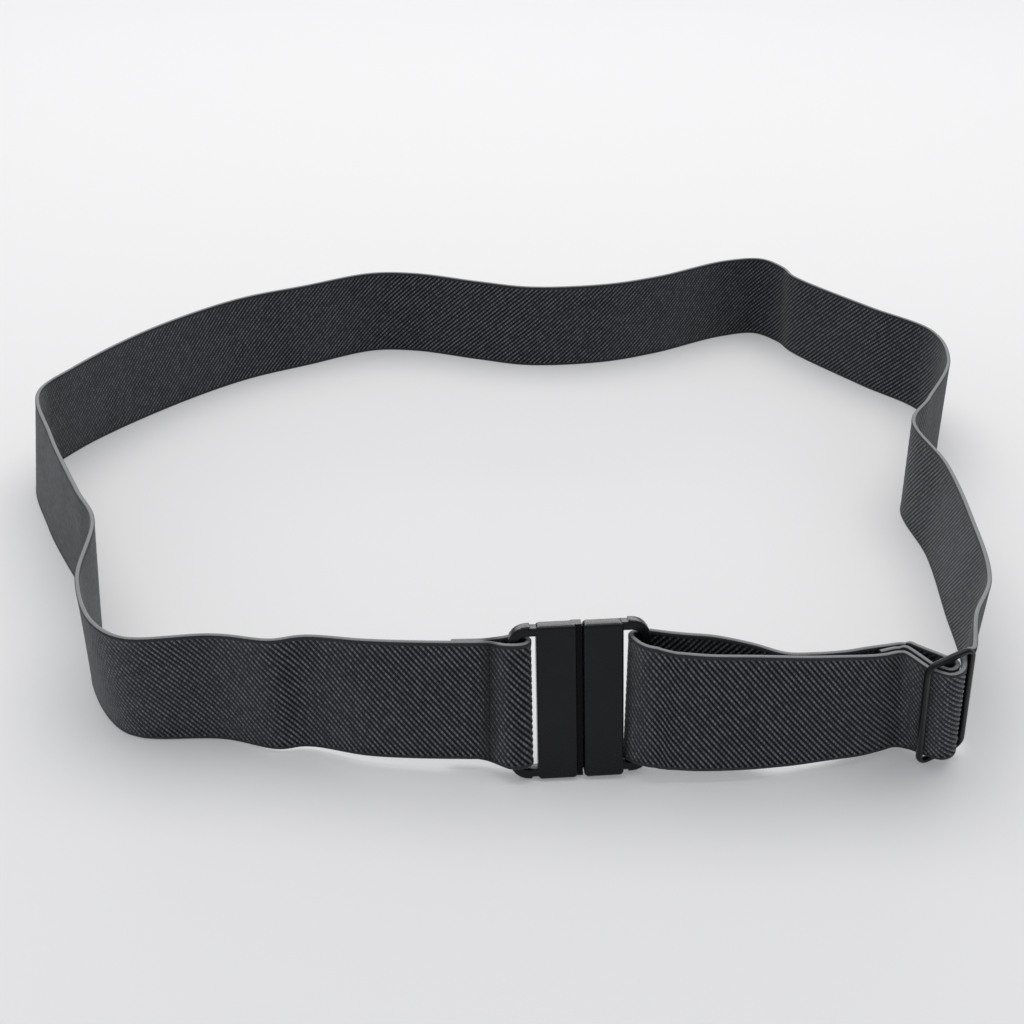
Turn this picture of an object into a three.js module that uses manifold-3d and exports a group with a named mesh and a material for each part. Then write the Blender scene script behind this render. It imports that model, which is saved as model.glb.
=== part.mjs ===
// An elastic stretch belt standing on its lower edge: one ribbed strap, a hook buckle in two halves,
// and the slider that sets its length. Millimetres, +Z up, buckle towards -Y, origin under the middle.
import * as THREE from "three";
import { mergeVertices } from "three/addons/utils/BufferGeometryUtils.js";
import Module from "manifold-3d";

const wasm = await Module();
wasm.setup();

// Webbing
const webbingWidth = 38;
const webbingThickness = 1.5;
const clearance = 0.3; // what the webbing and the two buckle halves keep to their neighbours
const sectionStep = 5.5; // spacing of the sections along an open stretch
const arcStep = 20; // degrees between the sections round a bar

// The loop as it stands, measured at the middle of the webbing
const loopWidth = 360;
const loopDepth = 348;
const liftRun = 90; // the lower edge comes down to the floor over this length, left of the buckle
const sliderLiftRun = 46; // and over this length behind the slider

// Buckle
const sideClearance = 1.2; // beside the webbing in each buckle slot
const railHeight = 3.05;
const plateWidth = 11.2;
const plateDepth = 5;
const plateCorner = 1.2;
const plateBevel = 0.8;
const grooveWidth = 1.9; // between the two plates
const grooveDepth = 1.5;
const bailReach = 7.9;
const bailBarWidth = 2.6;
const bailDepth = 4.2;
const bailBevel = 0.6;
const bailCorner = 5.8;
const bailRoot = 4; // how far a bail's rails run into its plate
const railDrop = 0.1; // rails below the plate's ends
const notchWidth = 1.6; // step in the rails where they leave the plate
const notchDepth = 0.5;
const hookBailSetback = 0.6; // behind the face of the plates
const catchBailSetback = 2;
const hookFoldSlack = 1.5; // how far the fold of the webbing hangs off its bar
const catchFoldSlack = 1.6;
const catchFoldTilt = 2.3; // degrees, its foot towards the plate
const settling = 0.7; // how far the looser fold has sunk in its slot
const tongueReach = 7.2; // past the groove, behind the catch plate
const tongueThickness = 1.6;
const tongueMargin = 1.5; // from the ends of the plates
const lipWidth = 1.8;
const lipHeight = 1.2;
const buckleHeight = webbingWidth + 2 * (sideClearance + railHeight);
const settledHeight = buckleHeight - 2 * settling;

// Slider
const sliderBar = 1.8; // width and thickness of its bars and rails
const sliderBevel = 0.6;
const sliderSpare = 1.45; // room in a slot beyond two layers of webbing
const sliderSideClearance = 1.1;
const sliderCorner = 4;
const sliderSlotCorner = 1;
const sliderSlot = 2 * webbingThickness + 3 * clearance + sliderSpare;
const sliderPitch = sliderBar + sliderSlot;
const sliderHeight = webbingWidth + 2 * (sliderSideClearance + sliderBar);

// Where the hardware stands, as shares of half the loop, and how it is turned, in degrees:
// yaw brings its right side back, lean its top back, tilt its top to the right.
const buckleStand = { across: 0.121, along: -1.041, yaw: 4.6, lean: 10, tilt: -1.4 };
const sliderStand = { across: 0.702, along: -0.963, yaw: 25, lean: -11, tilt: -13.3 };

// The loop from the left of the buckle round the back to the slider, a row for each side of a wave.
// across and along are shares of half the loop, lean is the top leaning outwards in degrees, and
// tilt is the top running ahead, where the webbing turns to lie along the slider's bars.
const loopRoute = [
  { across: -0.063, along: -1.006, lean: -4.2 },
  { across: -0.211, along: -0.996, lean: -3.6 },
  { across: -0.317, along: -0.971, lean: -0.1 },
  { across: -0.366, along: -0.978, lean: 0.8 },
  { across: -0.457, along: -0.953, lean: 3.8 },
  { across: -0.593, along: -0.957, lean: 7 },
  { across: -0.6435, along: -0.923, lean: 5.6 },
  { across: -0.709, along: -0.793, lean: 1.5 },
  { across: -0.745, along: -0.578, lean: -3 },
  { across: -0.803, along: -0.463, lean: -3.4 },
  { across: -0.924, along: -0.218, lean: -6.8 },
  { across: -1.006, along: 0.005, lean: -6.8 },
  { across: -0.968, along: 0.147, lean: -7 },
  { across: -0.839, along: 0.384, lean: -0.9 },
  { across: -0.671, along: 0.593, lean: 2 },
  { across: -0.522, along: 0.702, lean: 1 },
  { across: -0.365, along: 0.809, lean: 0.5 },
  { across: -0.254, along: 0.813, lean: 0.6 },
  { across: -0.088, along: 0.758, lean: 0 },
  { across: 0.04, along: 0.724, lean: 0 },
  { across: 0.226, along: 0.753, lean: 0 },
  { across: 0.369, along: 0.824, lean: 0.2 },
  { across: 0.559, along: 0.961, lean: 1.6 },
  { across: 0.654, along: 0.986, lean: -0.5 },
  { across: 0.707, along: 0.92, lean: -2.7 },
  { across: 0.728, along: 0.848, lean: -4.2 },
  { across: 0.876, along: 0.621, lean: -2.5 },
  { across: 0.987, along: 0.467, lean: -0.9 },
  { across: 0.984, along: 0.278, lean: -0.4 },
  { across: 0.889, along: 0.053, lean: 0.2 },
  { across: 0.829, along: -0.077, lean: -1.1 },
  { across: 0.843, along: -0.278, lean: 1.4 },
  { across: 0.831, along: -0.504, lean: 3.4, tilt: 1 },
  { across: 0.808, along: -0.725, lean: 2.4, tilt: 4 },
  { across: 0.748, along: -0.874, lean: 1.6, tilt: 10 },
];

// Between slider and buckle the strap lies double. along runs from the buckle's bar to the slider's
// left bar, in is towards the wearer, both as shares of that distance. lean is towards the front and
// tilt towards the buckle.
const frontLayer = [
  { along: 0.921, in: 0.085, lean: 10.5, tilt: 7 },
  { along: 0.86, in: 0.056, lean: 9.3, tilt: 5 },
  { along: 0.798, in: 0.028, lean: 7.3, tilt: 2.5 },
  { along: 0.677, in: -0.006, lean: 4.8, tilt: 0 },
  { along: 0.558, in: -0.037, lean: 2.3, tilt: 0 },
  { along: 0.383, in: -0.069, lean: -1, tilt: 0 },
  { along: 0.209, in: -0.092, lean: -2.4, tilt: 0 },
  { along: 0.093, in: -0.094, lean: -3.4, tilt: 0 },
];
const backLayer = [
  { along: 0.107, in: 0.032, lean: -5, tilt: 0 },
  { along: 0.235, in: 0.034, lean: -3.2, tilt: 0 },
  { along: 0.365, in: 0.009, lean: -1.2, tilt: 0 },
  { along: 0.482, in: -0.029, lean: 0.7, tilt: 0 },
  { along: 0.583, in: -0.008, lean: 2.8, tilt: 0 },
  { along: 0.695, in: 0.031, lean: 4.9, tilt: 0 },
  { along: 0.781, in: 0.077, lean: 7.7, tilt: 2.5 },
  { along: 0.867, in: 0.119, lean: 10, tilt: 5 },
  { along: 0.949, in: 0.146, lean: 11, tilt: 7.5 },
];
const looseEnd = [
  { along: 0.921, in: 0.1145, lean: 10.8, tilt: 7 },
  { along: 0.839, in: 0.074, lean: 9.2, tilt: 4.5 },
];

// Beside the hardware the webbing is placed in its axes: across to its right, out of its face, both
// as shares of the webbing's width, from the middle of the bail's bar or of the slider's centre bar.
const sewnFlap = [
  { across: -0.45, out: -0.1125, lean: -4.1 },
  { across: -0.21, out: -0.0895, lean: -5 },
];
const seamFront = { across: -0.21, out: -0.042, lean: -5 };
const leavingSlider = {
  front: { across: -0.2, out: -0.17, lean: -7 },
  loose: { across: -0.165, out: -0.215, lean: -7 },
  back: { across: -0.12, out: -0.26, lean: -5 },
};

// Where the webbing meets and leaves its rounds on the bars, in degrees from across a bar
const hookRound = 112;
const catchRound = { from: 165, to: 255, end: 288 };
const enteringRound = -46;
const backRound = -50;

// The looser fold from the front to the plate, as shares of the webbing's round on the bail's bar
const looseFold = [
  { across: 0.55, out: 2.6, lean: 5 },
  { across: -0.5, out: 1.9, lean: 3 },
];

const { degToRad, smoothstep, lerp } = THREE.MathUtils;
const vertical = new THREE.Vector3(0, 0, 1);

// Solids

function toSolid(geometry) {
  geometry.deleteAttribute("normal");
  geometry.deleteAttribute("uv");
  const welded = mergeVertices(geometry, 1e-4);
  const vertProperties = welded.attributes.position.array;
  const triVerts = new Uint32Array(welded.index.array);
  return new wasm.Manifold(new wasm.Mesh({ numProp: 3, vertProperties, triVerts }));
}

function toGeometry(solid) {
  const mesh = solid.getMesh();
  const geometry = new THREE.BufferGeometry();
  geometry.setAttribute("position", new THREE.BufferAttribute(mesh.vertProperties, 3));
  geometry.setIndex(new THREE.BufferAttribute(mesh.triVerts, 1));
  geometry.computeVertexNormals();
  return geometry;
}

// Points of a round corner, angles in degrees
function corner(x, y, radius, from, to, steps = 6) {
  return Array.from({ length: steps + 1 }, (_, i) => {
    const angle = degToRad(lerp(from, to, i / steps));
    return new THREE.Vector2(x + radius * Math.cos(angle), y + radius * Math.sin(angle));
  });
}

function rectangle(left, bottom, right, top, radius) {
  return [
    ...corner(right - radius, bottom + radius, radius, -90, 0),
    ...corner(right - radius, top - radius, radius, 0, 90),
    ...corner(left + radius, top - radius, radius, 90, 180),
    ...corner(left + radius, bottom + radius, radius, 180, 270),
  ];
}

// An outline given depth backwards from its face, its edges rounded off
function slab(outline, holes, face, depth, bevel) {
  const shape = new THREE.Shape(outline);
  shape.holes = holes.map((hole) => new THREE.Path(hole));
  const geometry = new THREE.ExtrudeGeometry(shape, {
    depth: depth - 2 * bevel,
    bevelThickness: bevel,
    bevelSize: bevel,
    bevelOffset: -bevel,
    bevelSegments: 2,
  });
  return geometry.translate(0, 0, face - depth + bevel);
}

function block(x, y, z) {
  const box = new THREE.BoxGeometry(x[1] - x[0], y[1] - y[0], z[1] - z[0]);
  return box.translate((x[0] + x[1]) / 2, (y[0] + y[1]) / 2, (z[0] + z[1]) / 2);
}

// Buckle. Its own axes: x across, y up its height, z out of its face, from the foot of the groove.
// side is -1 for the hook half on the left and 1 for the catch half on the right.

const plateInner = grooveWidth / 2;
const plateOuter = plateInner + plateWidth;
const bailEnd = plateOuter + bailReach;
const bailBarMiddle = bailEnd - bailBarWidth / 2;
const hookBarDepth = -hookBailSetback - bailDepth / 2;
const catchBarDepth = -catchBailSetback - bailDepth / 2;
const bailRound = Math.min(bailCorner, bailReach - notchWidth - 1.5 * bailBevel);

function plate(side) {
  const ends = [side * plateInner, side * plateOuter].sort((a, b) => a - b);
  return slab(rectangle(ends[0], 0, ends[1], buckleHeight, plateCorner), [], 0, plateDepth, plateBevel);
}

// Two rails and a bar round the slot for the webbing, the rails stepped where they leave the plate
function bail(side, setback) {
  const root = plateOuter - bailRoot;
  const step = plateOuter + notchWidth;
  const top = buckleHeight - railDrop;
  const slotEnd = bailEnd - bailBarWidth;
  const slotCorner = bailRound - bailBarWidth;
  const outline = [
    new THREE.Vector2(root, railDrop + notchDepth),
    new THREE.Vector2(step, railDrop + notchDepth),
    new THREE.Vector2(step, railDrop),
    ...corner(bailEnd - bailRound, railDrop + bailRound, bailRound, -90, 0),
    ...corner(bailEnd - bailRound, top - bailRound, bailRound, 0, 90),
    new THREE.Vector2(step, top),
    new THREE.Vector2(step, top - notchDepth),
    new THREE.Vector2(root, top - notchDepth),
    new THREE.Vector2(root, buckleHeight - railHeight),
    ...corner(slotEnd - slotCorner, buckleHeight - railHeight - slotCorner, slotCorner, 90, 0),
    ...corner(slotEnd - slotCorner, railHeight + slotCorner, slotCorner, 0, -90),
    new THREE.Vector2(root, railHeight),
  ].map((point) => new THREE.Vector2(side * point.x, point.y));
  return slab(outline, [], -setback, bailDepth, bailBevel);
}

const tongueEnd = plateInner + tongueReach;
const tongueFront = tongueThickness - plateDepth;
const tongueSpan = [tongueMargin, buckleHeight - tongueMargin];

// The left half closes the groove with a web and reaches behind the right plate with a hooked tongue
function hookHalf() {
  const inPlate = -plateInner - plateCorner;
  const webSpan = [railDrop, buckleHeight - railDrop];
  const web = block([inPlate, plateInner - clearance], webSpan, [-plateDepth, -grooveDepth]);
  const tongue = block([inPlate, tongueEnd], tongueSpan, [-plateDepth, tongueFront]);
  const lipFront = tongueFront + lipHeight;
  const lip = block([tongueEnd - lipWidth, tongueEnd], tongueSpan, [-plateDepth, lipFront]);
  return [bail(-1, hookBailSetback), web, tongue, lip].reduce(
    (solid, geometry) => solid.add(toSolid(geometry)),
    toSolid(plate(-1)),
  );
}

// The right half is hollowed from behind to take the tongue and its lip
function catchHalf() {
  const span = [tongueSpan[0] - clearance, tongueSpan[1] + clearance];
  const far = tongueEnd + clearance;
  const open = -plateDepth - catchBailSetback;
  const pocket = block([plateInner - plateCorner, far], span, [open, tongueFront + clearance]);
  const undercut = block(
    [tongueEnd - lipWidth - clearance, far],
    span,
    [open, tongueFront + lipHeight + clearance],
  );
  const body = toSolid(plate(1)).add(toSolid(bail(1, catchBailSetback)));
  return body.subtract(toSolid(pocket)).subtract(toSolid(undercut));
}

// Slider. Its own axes are laid as the buckle's, from the foot of the centre bar.

function sliderFrame() {
  const half = sliderPitch + sliderBar / 2;
  const slots = [-1, 1].map((side) => {
    const middle = (side * sliderPitch) / 2;
    const reach = sliderSlot / 2;
    return rectangle(middle - reach, sliderBar, middle + reach, sliderHeight - sliderBar, sliderSlotCorner);
  });
  const outline = rectangle(-half, 0, half, sliderHeight, sliderCorner);
  return slab(outline, slots, sliderBar / 2, sliderBar, sliderBevel);
}

// Turns a group of hardware as it stands and sets its lowest corner on the floor
function stand(group, place) {
  const turn = new THREE.Matrix4().makeRotationZ(degToRad(place.yaw));
  turn.multiply(new THREE.Matrix4().makeRotationX(degToRad(90 - place.lean)));
  turn.multiply(new THREE.Matrix4().makeRotationZ(degToRad(-place.tilt)));
  group.rotation.setFromRotationMatrix(turn);
  group.position.set((place.across * loopWidth) / 2, (place.along * loopDepth) / 2, 0);
  group.updateMatrixWorld(true);
  group.position.z = -new THREE.Box3().setFromObject(group, true).min.z;
  group.updateMatrixWorld(true);
}

function namedMesh(name, geometry, color, roughness) {
  const mesh = new THREE.Mesh(
    geometry,
    new THREE.MeshStandardMaterial({ color, roughness, metalness: 0 }),
  );
  mesh.name = name;
  return mesh;
}

const buckle = new THREE.Group();
buckle.add(namedMesh("buckle_hook_half", toGeometry(hookHalf()), 0x1b1c20, 0.42));
buckle.add(namedMesh("buckle_catch_half", toGeometry(catchHalf()), 0x1b1c20, 0.42));
stand(buckle, buckleStand);

const slider = new THREE.Group();
slider.add(namedMesh("slider", sliderFrame(), 0x1d1d1f, 0.5));
stand(slider, sliderStand);

// Strap. It is one length of webbing, laid through knots at its middle. rise is a knot's direction
// across the webbing, one long when it is square to the edges. It keeps to the bars at the hardware.

function atHardware(group, height, across, out, tilt = 0, lean = 0) {
  const at = group.localToWorld(new THREE.Vector3(across, height / 2, out));
  const rise = new THREE.Vector3(Math.tan(degToRad(tilt)), 1, Math.tan(degToRad(lean)));
  return { at, rise: rise.applyQuaternion(group.quaternion) };
}

// A direction across the webbing that leans towards one side and tilts along the strap
function riseOf(row, side, ahead) {
  const lean = degToRad(row.lean);
  const rise = vertical.clone().multiplyScalar(Math.cos(lean)).addScaledVector(side, Math.sin(lean));
  return rise.addScaledVector(ahead, Math.tan(degToRad(row.tilt ?? 0)));
}

function besideBuckle(row) {
  const out = hookBarDepth + row.out * webbingWidth;
  const { at } = atHardware(buckle, buckleHeight, row.across * webbingWidth - bailBarMiddle, out);
  const front = new THREE.Vector3(0, 0, 1).transformDirection(buckle.matrixWorld).setZ(0).normalize();
  return { at, rise: riseOf(row, front, vertical) };
}

function besideSlider(row) {
  const out = row.out * webbingWidth;
  return atHardware(slider, sliderHeight, row.across * webbingWidth, out, 0, row.lean);
}

// Knots round a bar, angles in degrees from across, positive towards the face
function roundBar(group, height, across, out, radius, from, to, tilt) {
  const steps = Math.max(1, Math.round(Math.abs(to - from) / arcStep));
  return Array.from({ length: steps + 1 }, (_, i) => {
    const angle = degToRad(lerp(from, to, i / steps));
    const place = [across + radius * Math.cos(angle), out + radius * Math.sin(angle)];
    return atHardware(group, height, ...place, tilt);
  });
}

// How far the middle of the webbing runs from the middle of a bar that it wraps, layer by layer
function wrapRadius(width, depth, bevel, layer = 0) {
  const corners = [[width / 2 - bevel, depth / 2], [width / 2, depth / 2 - bevel]];
  const barReach = Math.max(...corners.map(([across, out]) => Math.hypot(across, out)));
  return barReach + (layer + 1) * clearance + (layer + 0.5) * webbingThickness;
}

function floorGap(knot) {
  return knot.at.z - (webbingWidth / 2) * knot.rise.z;
}

const bailRadius = wrapRadius(bailBarWidth, bailDepth, bailBevel);
const innerRadius = wrapRadius(sliderBar, sliderBar, sliderBevel);
const outerRadius = wrapRadius(sliderBar, sliderBar, sliderBevel, 1);

// The webbing crosses from bar to bar of the slider along the tangent between their rounds
const crossing = THREE.MathUtils.radToDeg(Math.acos((innerRadius + outerRadius) / sliderPitch));

function sliderRound(bar, radius, from, to) {
  return roundBar(slider, sliderHeight, bar * sliderPitch, 0, radius, from, to);
}

// The webbing passes round a bail's bar and hangs a little off it. Angles are about the bar's middle.
function hookFold() {
  const about = (across, start, end) =>
    roundBar(buckle, buckleHeight, -across, hookBarDepth, bailRadius, start, end);
  return [
    ...about(bailBarMiddle, -hookRound, -90),
    ...about(bailBarMiddle - hookFoldSlack, -90, 90),
    ...about(bailBarMiddle, 90, hookRound),
  ];
}

// On the catch half it stands off the front of the bar
function catchFold() {
  const about = (across, start, end, tilt) =>
    roundBar(buckle, settledHeight, across, catchBarDepth, bailRadius, start, end, tilt);
  const front = looseFold.map((row) => {
    const [across, out] = [row.across, row.out].map((share) => share * bailRadius);
    return atHardware(buckle, settledHeight, bailBarMiddle + across, catchBarDepth + out, 0, row.lean);
  });
  return [
    ...front,
    ...about(bailBarMiddle - catchFoldSlack, catchRound.from, catchRound.to, catchFoldTilt),
    ...about(bailBarMiddle, 270, catchRound.end),
  ];
}

// Knots of a table of the double stretch, between the buckle's right bar and the slider's left one
function doubleStretch(rows) {
  const start = atHardware(buckle, settledHeight, bailBarMiddle, catchBarDepth);
  const end = atHardware(slider, sliderHeight, -sliderPitch, 0);
  const run = end.at.clone().sub(start.at).setZ(0);
  const inwards = new THREE.Vector3().crossVectors(vertical, run);
  const front = inwards.clone().normalize().negate();
  const towardsBuckle = run.clone().normalize().negate();
  return rows.map((row) => {
    const rise = riseOf(row, front, towardsBuckle);
    const at = start.at.clone().addScaledVector(run, row.along).addScaledVector(inwards, row.in);
    at.z = lerp(floorGap(start), floorGap(end), row.along) + (webbingWidth / 2) * rise.z;
    return { at, rise };
  });
}

// The loop's knots, raised off the floor only where they near the hardware
function loop(before, after) {
  const places = loopRoute.map(
    (row) => new THREE.Vector3((row.across * loopWidth) / 2, (row.along * loopDepth) / 2, 0),
  );
  const ends = [before, after].map((knot) => knot.at.clone().setZ(0));
  return loopRoute.map((row, i) => {
    const ahead = (places[i + 1] ?? ends[1]).clone().sub(places[i - 1] ?? ends[0]).normalize();
    const outwards = new THREE.Vector3().crossVectors(vertical, ahead);
    const rise = riseOf(row, outwards, ahead);
    const lift =
      floorGap(before) * (1 - smoothstep(places[i].distanceTo(ends[0]), 0, liftRun)) +
      floorGap(after) * (1 - smoothstep(places[i].distanceTo(ends[1]), 0, sliderLiftRun));
    return { at: places[i].clone().setZ(lift + (webbingWidth / 2) * rise.z), rise };
  });
}

function strapKnots() {
  const seam = besideBuckle(seamFront);
  const intoSlider = sliderRound(1, innerRadius, enteringRound, crossing - 180);
  return [
    ...sewnFlap.map(besideBuckle),
    ...hookFold(),
    seam,
    ...loop(seam, intoSlider[0]),
    ...intoSlider,
    ...sliderRound(0, outerRadius, crossing, 180 - crossing),
    ...sliderRound(-1, innerRadius, -crossing, -crossing),
    besideSlider(leavingSlider.front),
    ...doubleStretch(frontLayer),
    ...catchFold(),
    ...doubleStretch(backLayer),
    besideSlider(leavingSlider.back),
    ...sliderRound(0, innerRadius, backRound, 180 - crossing),
    ...sliderRound(-1, outerRadius, -crossing, -crossing),
    besideSlider(leavingSlider.loose),
    ...doubleStretch(looseEnd),
  ];
}

// Four corners of each section, level at the top and the bottom so that the edge stands flat
function strapSections(knots) {
  const middle = new THREE.CatmullRomCurve3(knots.map((knot) => knot.at), false, "centripetal");
  const rises = new THREE.CatmullRomCurve3(knots.map((knot) => knot.rise), false, "catmullrom");
  const last = knots.length - 1;
  const sections = knots.slice(1).flatMap((knot, i) => {
    const steps = Math.max(1, Math.round(knot.at.distanceTo(knots[i].at) / sectionStep));
    const count = i + 1 === last ? steps + 1 : steps;
    return Array.from({ length: count }, (_, step) => ({ from: i, share: step / steps }));
  });
  return sections.map(({ from, share }) => {
    const stop = (from + share) / last;
    const edge = rises.getPoint(stop).multiplyScalar(webbingWidth / 2);
    const at = middle.getPoint(stop);
    at.z = edge.z + lerp(floorGap(knots[from]), floorGap(knots[from + 1]), share);
    const face = new THREE.Vector3().crossVectors(edge, middle.getTangent(stop)).normalize();
    const half = face.addScaledVector(edge, -face.z / edge.z).multiplyScalar(webbingThickness / 2);
    return [
      at.clone().add(edge).add(half),
      at.clone().sub(edge).add(half),
      at.clone().sub(edge).sub(half),
      at.clone().add(edge).sub(half),
    ];
  });
}

function strapGeometry(sections) {
  const index = [0, 1, 2, 0, 2, 3];
  const end = 4 * (sections.length - 1);
  for (let at = 0; at < end; at += 4) {
    for (let j = 0; j < 4; j += 1) {
      const next = (j + 1) % 4;
      index.push(at + j, at + 4 + next, at + next, at + j, at + 4 + j, at + 4 + next);
    }
  }
  index.push(end, end + 2, end + 1, end, end + 3, end + 2);
  const geometry = new THREE.BufferGeometry().setFromPoints(sections.flat());
  geometry.setIndex(index);
  geometry.computeVertexNormals();
  return geometry;
}

const strap = namedMesh("strap", strapGeometry(strapSections(strapKnots())), 0x2f3335, 0.85);

const belt = new THREE.Group();
belt.add(strap, buckle, slider);
const outside = new THREE.Box3().setFromObject(belt, true);
belt.position.copy(outside.getCenter(new THREE.Vector3()).setZ(outside.min.z)).negate();

export default belt;
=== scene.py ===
import math

import bmesh
import bpy
import numpy as np
from mathutils import Matrix, Vector


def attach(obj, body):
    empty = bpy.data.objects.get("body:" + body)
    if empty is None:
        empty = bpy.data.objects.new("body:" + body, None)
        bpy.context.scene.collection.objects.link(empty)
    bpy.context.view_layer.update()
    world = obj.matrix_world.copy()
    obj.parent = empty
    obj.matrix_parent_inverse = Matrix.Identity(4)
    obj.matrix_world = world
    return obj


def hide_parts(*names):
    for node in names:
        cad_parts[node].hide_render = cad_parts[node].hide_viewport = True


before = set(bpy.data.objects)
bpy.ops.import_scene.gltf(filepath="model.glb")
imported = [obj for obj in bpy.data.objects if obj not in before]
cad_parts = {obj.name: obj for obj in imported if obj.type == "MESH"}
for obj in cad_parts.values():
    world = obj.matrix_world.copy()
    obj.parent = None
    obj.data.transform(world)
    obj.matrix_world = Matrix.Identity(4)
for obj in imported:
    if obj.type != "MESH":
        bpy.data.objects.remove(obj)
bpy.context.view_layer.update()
mm = 0.001
vertical = Vector((0, 0, 1))

# The belt's own sizes, in millimetres, as in the part's source
webbing = {"width": 38, "thickness": 1.5, "clearance": 0.3}
loopSize = {"width": 360, "depth": 348, "liftRun": 90, "sliderLiftRun": 46}
buckleSize = {
    "sideClearance": 1.2, "rail": 3.05, "plate": 11.2, "groove": 1.9, "bailReach": 7.9, "bailBar": 2.6,
    "bailDepth": 4.2, "bailBevel": 0.6, "hookSetback": 0.6, "catchSetback": 2, "hookSlack": 1.5,
    "catchSlack": 1.6, "catchTilt": 2.3, "settling": 0.7,
}
sliderSize = {"bar": 1.8, "bevel": 0.6, "spare": 1.45, "sideClearance": 1.1}
# Shares of half the loop, then degrees, as the hardware stands
buckleStand = {"across": 0.121, "along": -1.041, "yaw": 4.6, "lean": 10, "tilt": -1.4}
sliderStand = {"across": 0.702, "along": -0.963, "yaw": 25, "lean": -11, "tilt": -13.3}


# Camera, first of all. It stands in the loop's own axes, so the loop's middle is found from the CAD.

def turnOf(stand):
    turn = Matrix.Rotation(math.radians(stand["yaw"]), 3, "Z")
    turn @= Matrix.Rotation(math.radians(90 - stand["lean"]), 3, "X")
    return turn @ Matrix.Rotation(math.radians(-stand["tilt"]), 3, "Z")


def axesOf(nodes, stand, outAt):
    # A group's axes: x across, y up its height, z out of its face, from the foot of its middle
    turn = turnOf(stand)
    points = np.array([v.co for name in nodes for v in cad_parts[name].data.vertices]) / mm
    low, high = (points @ np.array(turn)).min(0), (points @ np.array(turn)).max(0)
    foot = turn @ Vector(((low[0] + high[0]) / 2, low[1], outAt(low[2], high[2])))
    axes = turn.to_4x4()
    axes.translation = foot
    return axes


buckleAxes = axesOf(["buckle_hook_half", "buckle_catch_half"], buckleStand, lambda low, high: high)
sliderAxes = axesOf(["slider"], sliderStand, lambda low, high: (low + high) / 2)
loopMiddle = Vector((
    buckleAxes.translation.x - buckleStand["across"] * loopSize["width"] / 2,
    buckleAxes.translation.y - buckleStand["along"] * loopSize["depth"] / 2,
    0,
))

cameraSize = {"at": (0.8, -523.8, 268.1), "down": 28.0, "roll": 0.99, "lens": 53.09, "sensor": 36}


def makeCamera():
    camera = bpy.data.objects.new("camera", bpy.data.cameras.new("camera"))
    bpy.context.scene.collection.objects.link(camera)
    down, roll = math.radians(cameraSize["down"]), math.radians(cameraSize["roll"])
    level, above = Vector((1, 0, 0)), Vector((0, math.sin(down), math.cos(down)))
    right = level * math.cos(roll) + above * math.sin(roll)
    up = above * math.cos(roll) - level * math.sin(roll)
    turn = Matrix((right, up, right.cross(up))).transposed().to_4x4()
    turn.translation = (loopMiddle + Vector(cameraSize["at"])) * mm
    camera.matrix_world = turn
    camera.data.lens = cameraSize["lens"]
    camera.data.sensor_width = cameraSize["sensor"]
    camera.data.clip_start = 0.01
    bpy.context.scene.camera = camera


makeCamera()
print("camera made, loop's middle at", [round(v, 2) for v in loopMiddle])


# The strap's route, laid through the same knots as the part's source

# across and along as shares of half the loop, then lean and tilt in degrees
loopRoute = [
    (-0.063, -1.006, -4.2, 0), (-0.211, -0.996, -3.6, 0), (-0.317, -0.971, -0.1, 0),
    (-0.366, -0.978, 0.8, 0), (-0.457, -0.953, 3.8, 0), (-0.593, -0.957, 7, 0), (-0.6435, -0.923, 5.6, 0),
    (-0.709, -0.793, 1.5, 0), (-0.745, -0.578, -3, 0), (-0.803, -0.463, -3.4, 0), (-0.924, -0.218, -6.8, 0),
    (-1.006, 0.005, -6.8, 0), (-0.968, 0.147, -7, 0), (-0.839, 0.384, -0.9, 0), (-0.671, 0.593, 2, 0),
    (-0.522, 0.702, 1, 0), (-0.365, 0.809, 0.5, 0), (-0.254, 0.813, 0.6, 0), (-0.088, 0.758, 0, 0),
    (0.04, 0.724, 0, 0), (0.226, 0.753, 0, 0), (0.369, 0.824, 0.2, 0), (0.559, 0.961, 1.6, 0),
    (0.654, 0.986, -0.5, 0), (0.707, 0.92, -2.7, 0), (0.728, 0.848, -4.2, 0), (0.876, 0.621, -2.5, 0),
    (0.987, 0.467, -0.9, 0), (0.984, 0.278, -0.4, 0), (0.889, 0.053, 0.2, 0), (0.829, -0.077, -1.1, 0),
    (0.843, -0.278, 1.4, 0), (0.831, -0.504, 3.4, 1), (0.808, -0.725, 2.4, 4), (0.748, -0.874, 1.6, 10),
]
# along and in as shares of the way from the buckle's bar to the slider's, then lean and tilt
frontLayer = [
    (0.921, 0.085, 10.5, 7), (0.86, 0.056, 9.3, 5), (0.798, 0.028, 7.3, 2.5), (0.677, -0.006, 4.8, 0),
    (0.558, -0.037, 2.3, 0), (0.383, -0.069, -1, 0), (0.209, -0.092, -2.4, 0), (0.093, -0.094, -3.4, 0),
]
backLayer = [
    (0.107, 0.032, -5, 0), (0.235, 0.034, -3.2, 0), (0.365, 0.009, -1.2, 0), (0.482, -0.029, 0.7, 0),
    (0.583, -0.008, 2.8, 0), (0.695, 0.031, 4.9, 0), (0.781, 0.077, 7.7, 2.5), (0.867, 0.119, 10, 5),
    (0.949, 0.146, 11, 7.5),
]
looseEnd = [
    (0.921, 0.1145, 10.8, 7), (0.839, 0.074, 9.2, 4.5),
]
# across and out as shares of the webbing's width, then lean
sewnFlap = [
    (-0.45, -0.1125, -4.1), (-0.21, -0.0895, -5),
]
seamFront = (-0.21, -0.042, -5)
leavingSlider = {"front": (-0.2, -0.17, -7), "loose": (-0.165, -0.215, -7), "back": (-0.12, -0.26, -5)}
# across and out as shares of the webbing's round on the bail's bar, then lean
looseFold = [(0.55, 2.6, 5), (-0.5, 1.9, 3)]
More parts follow.
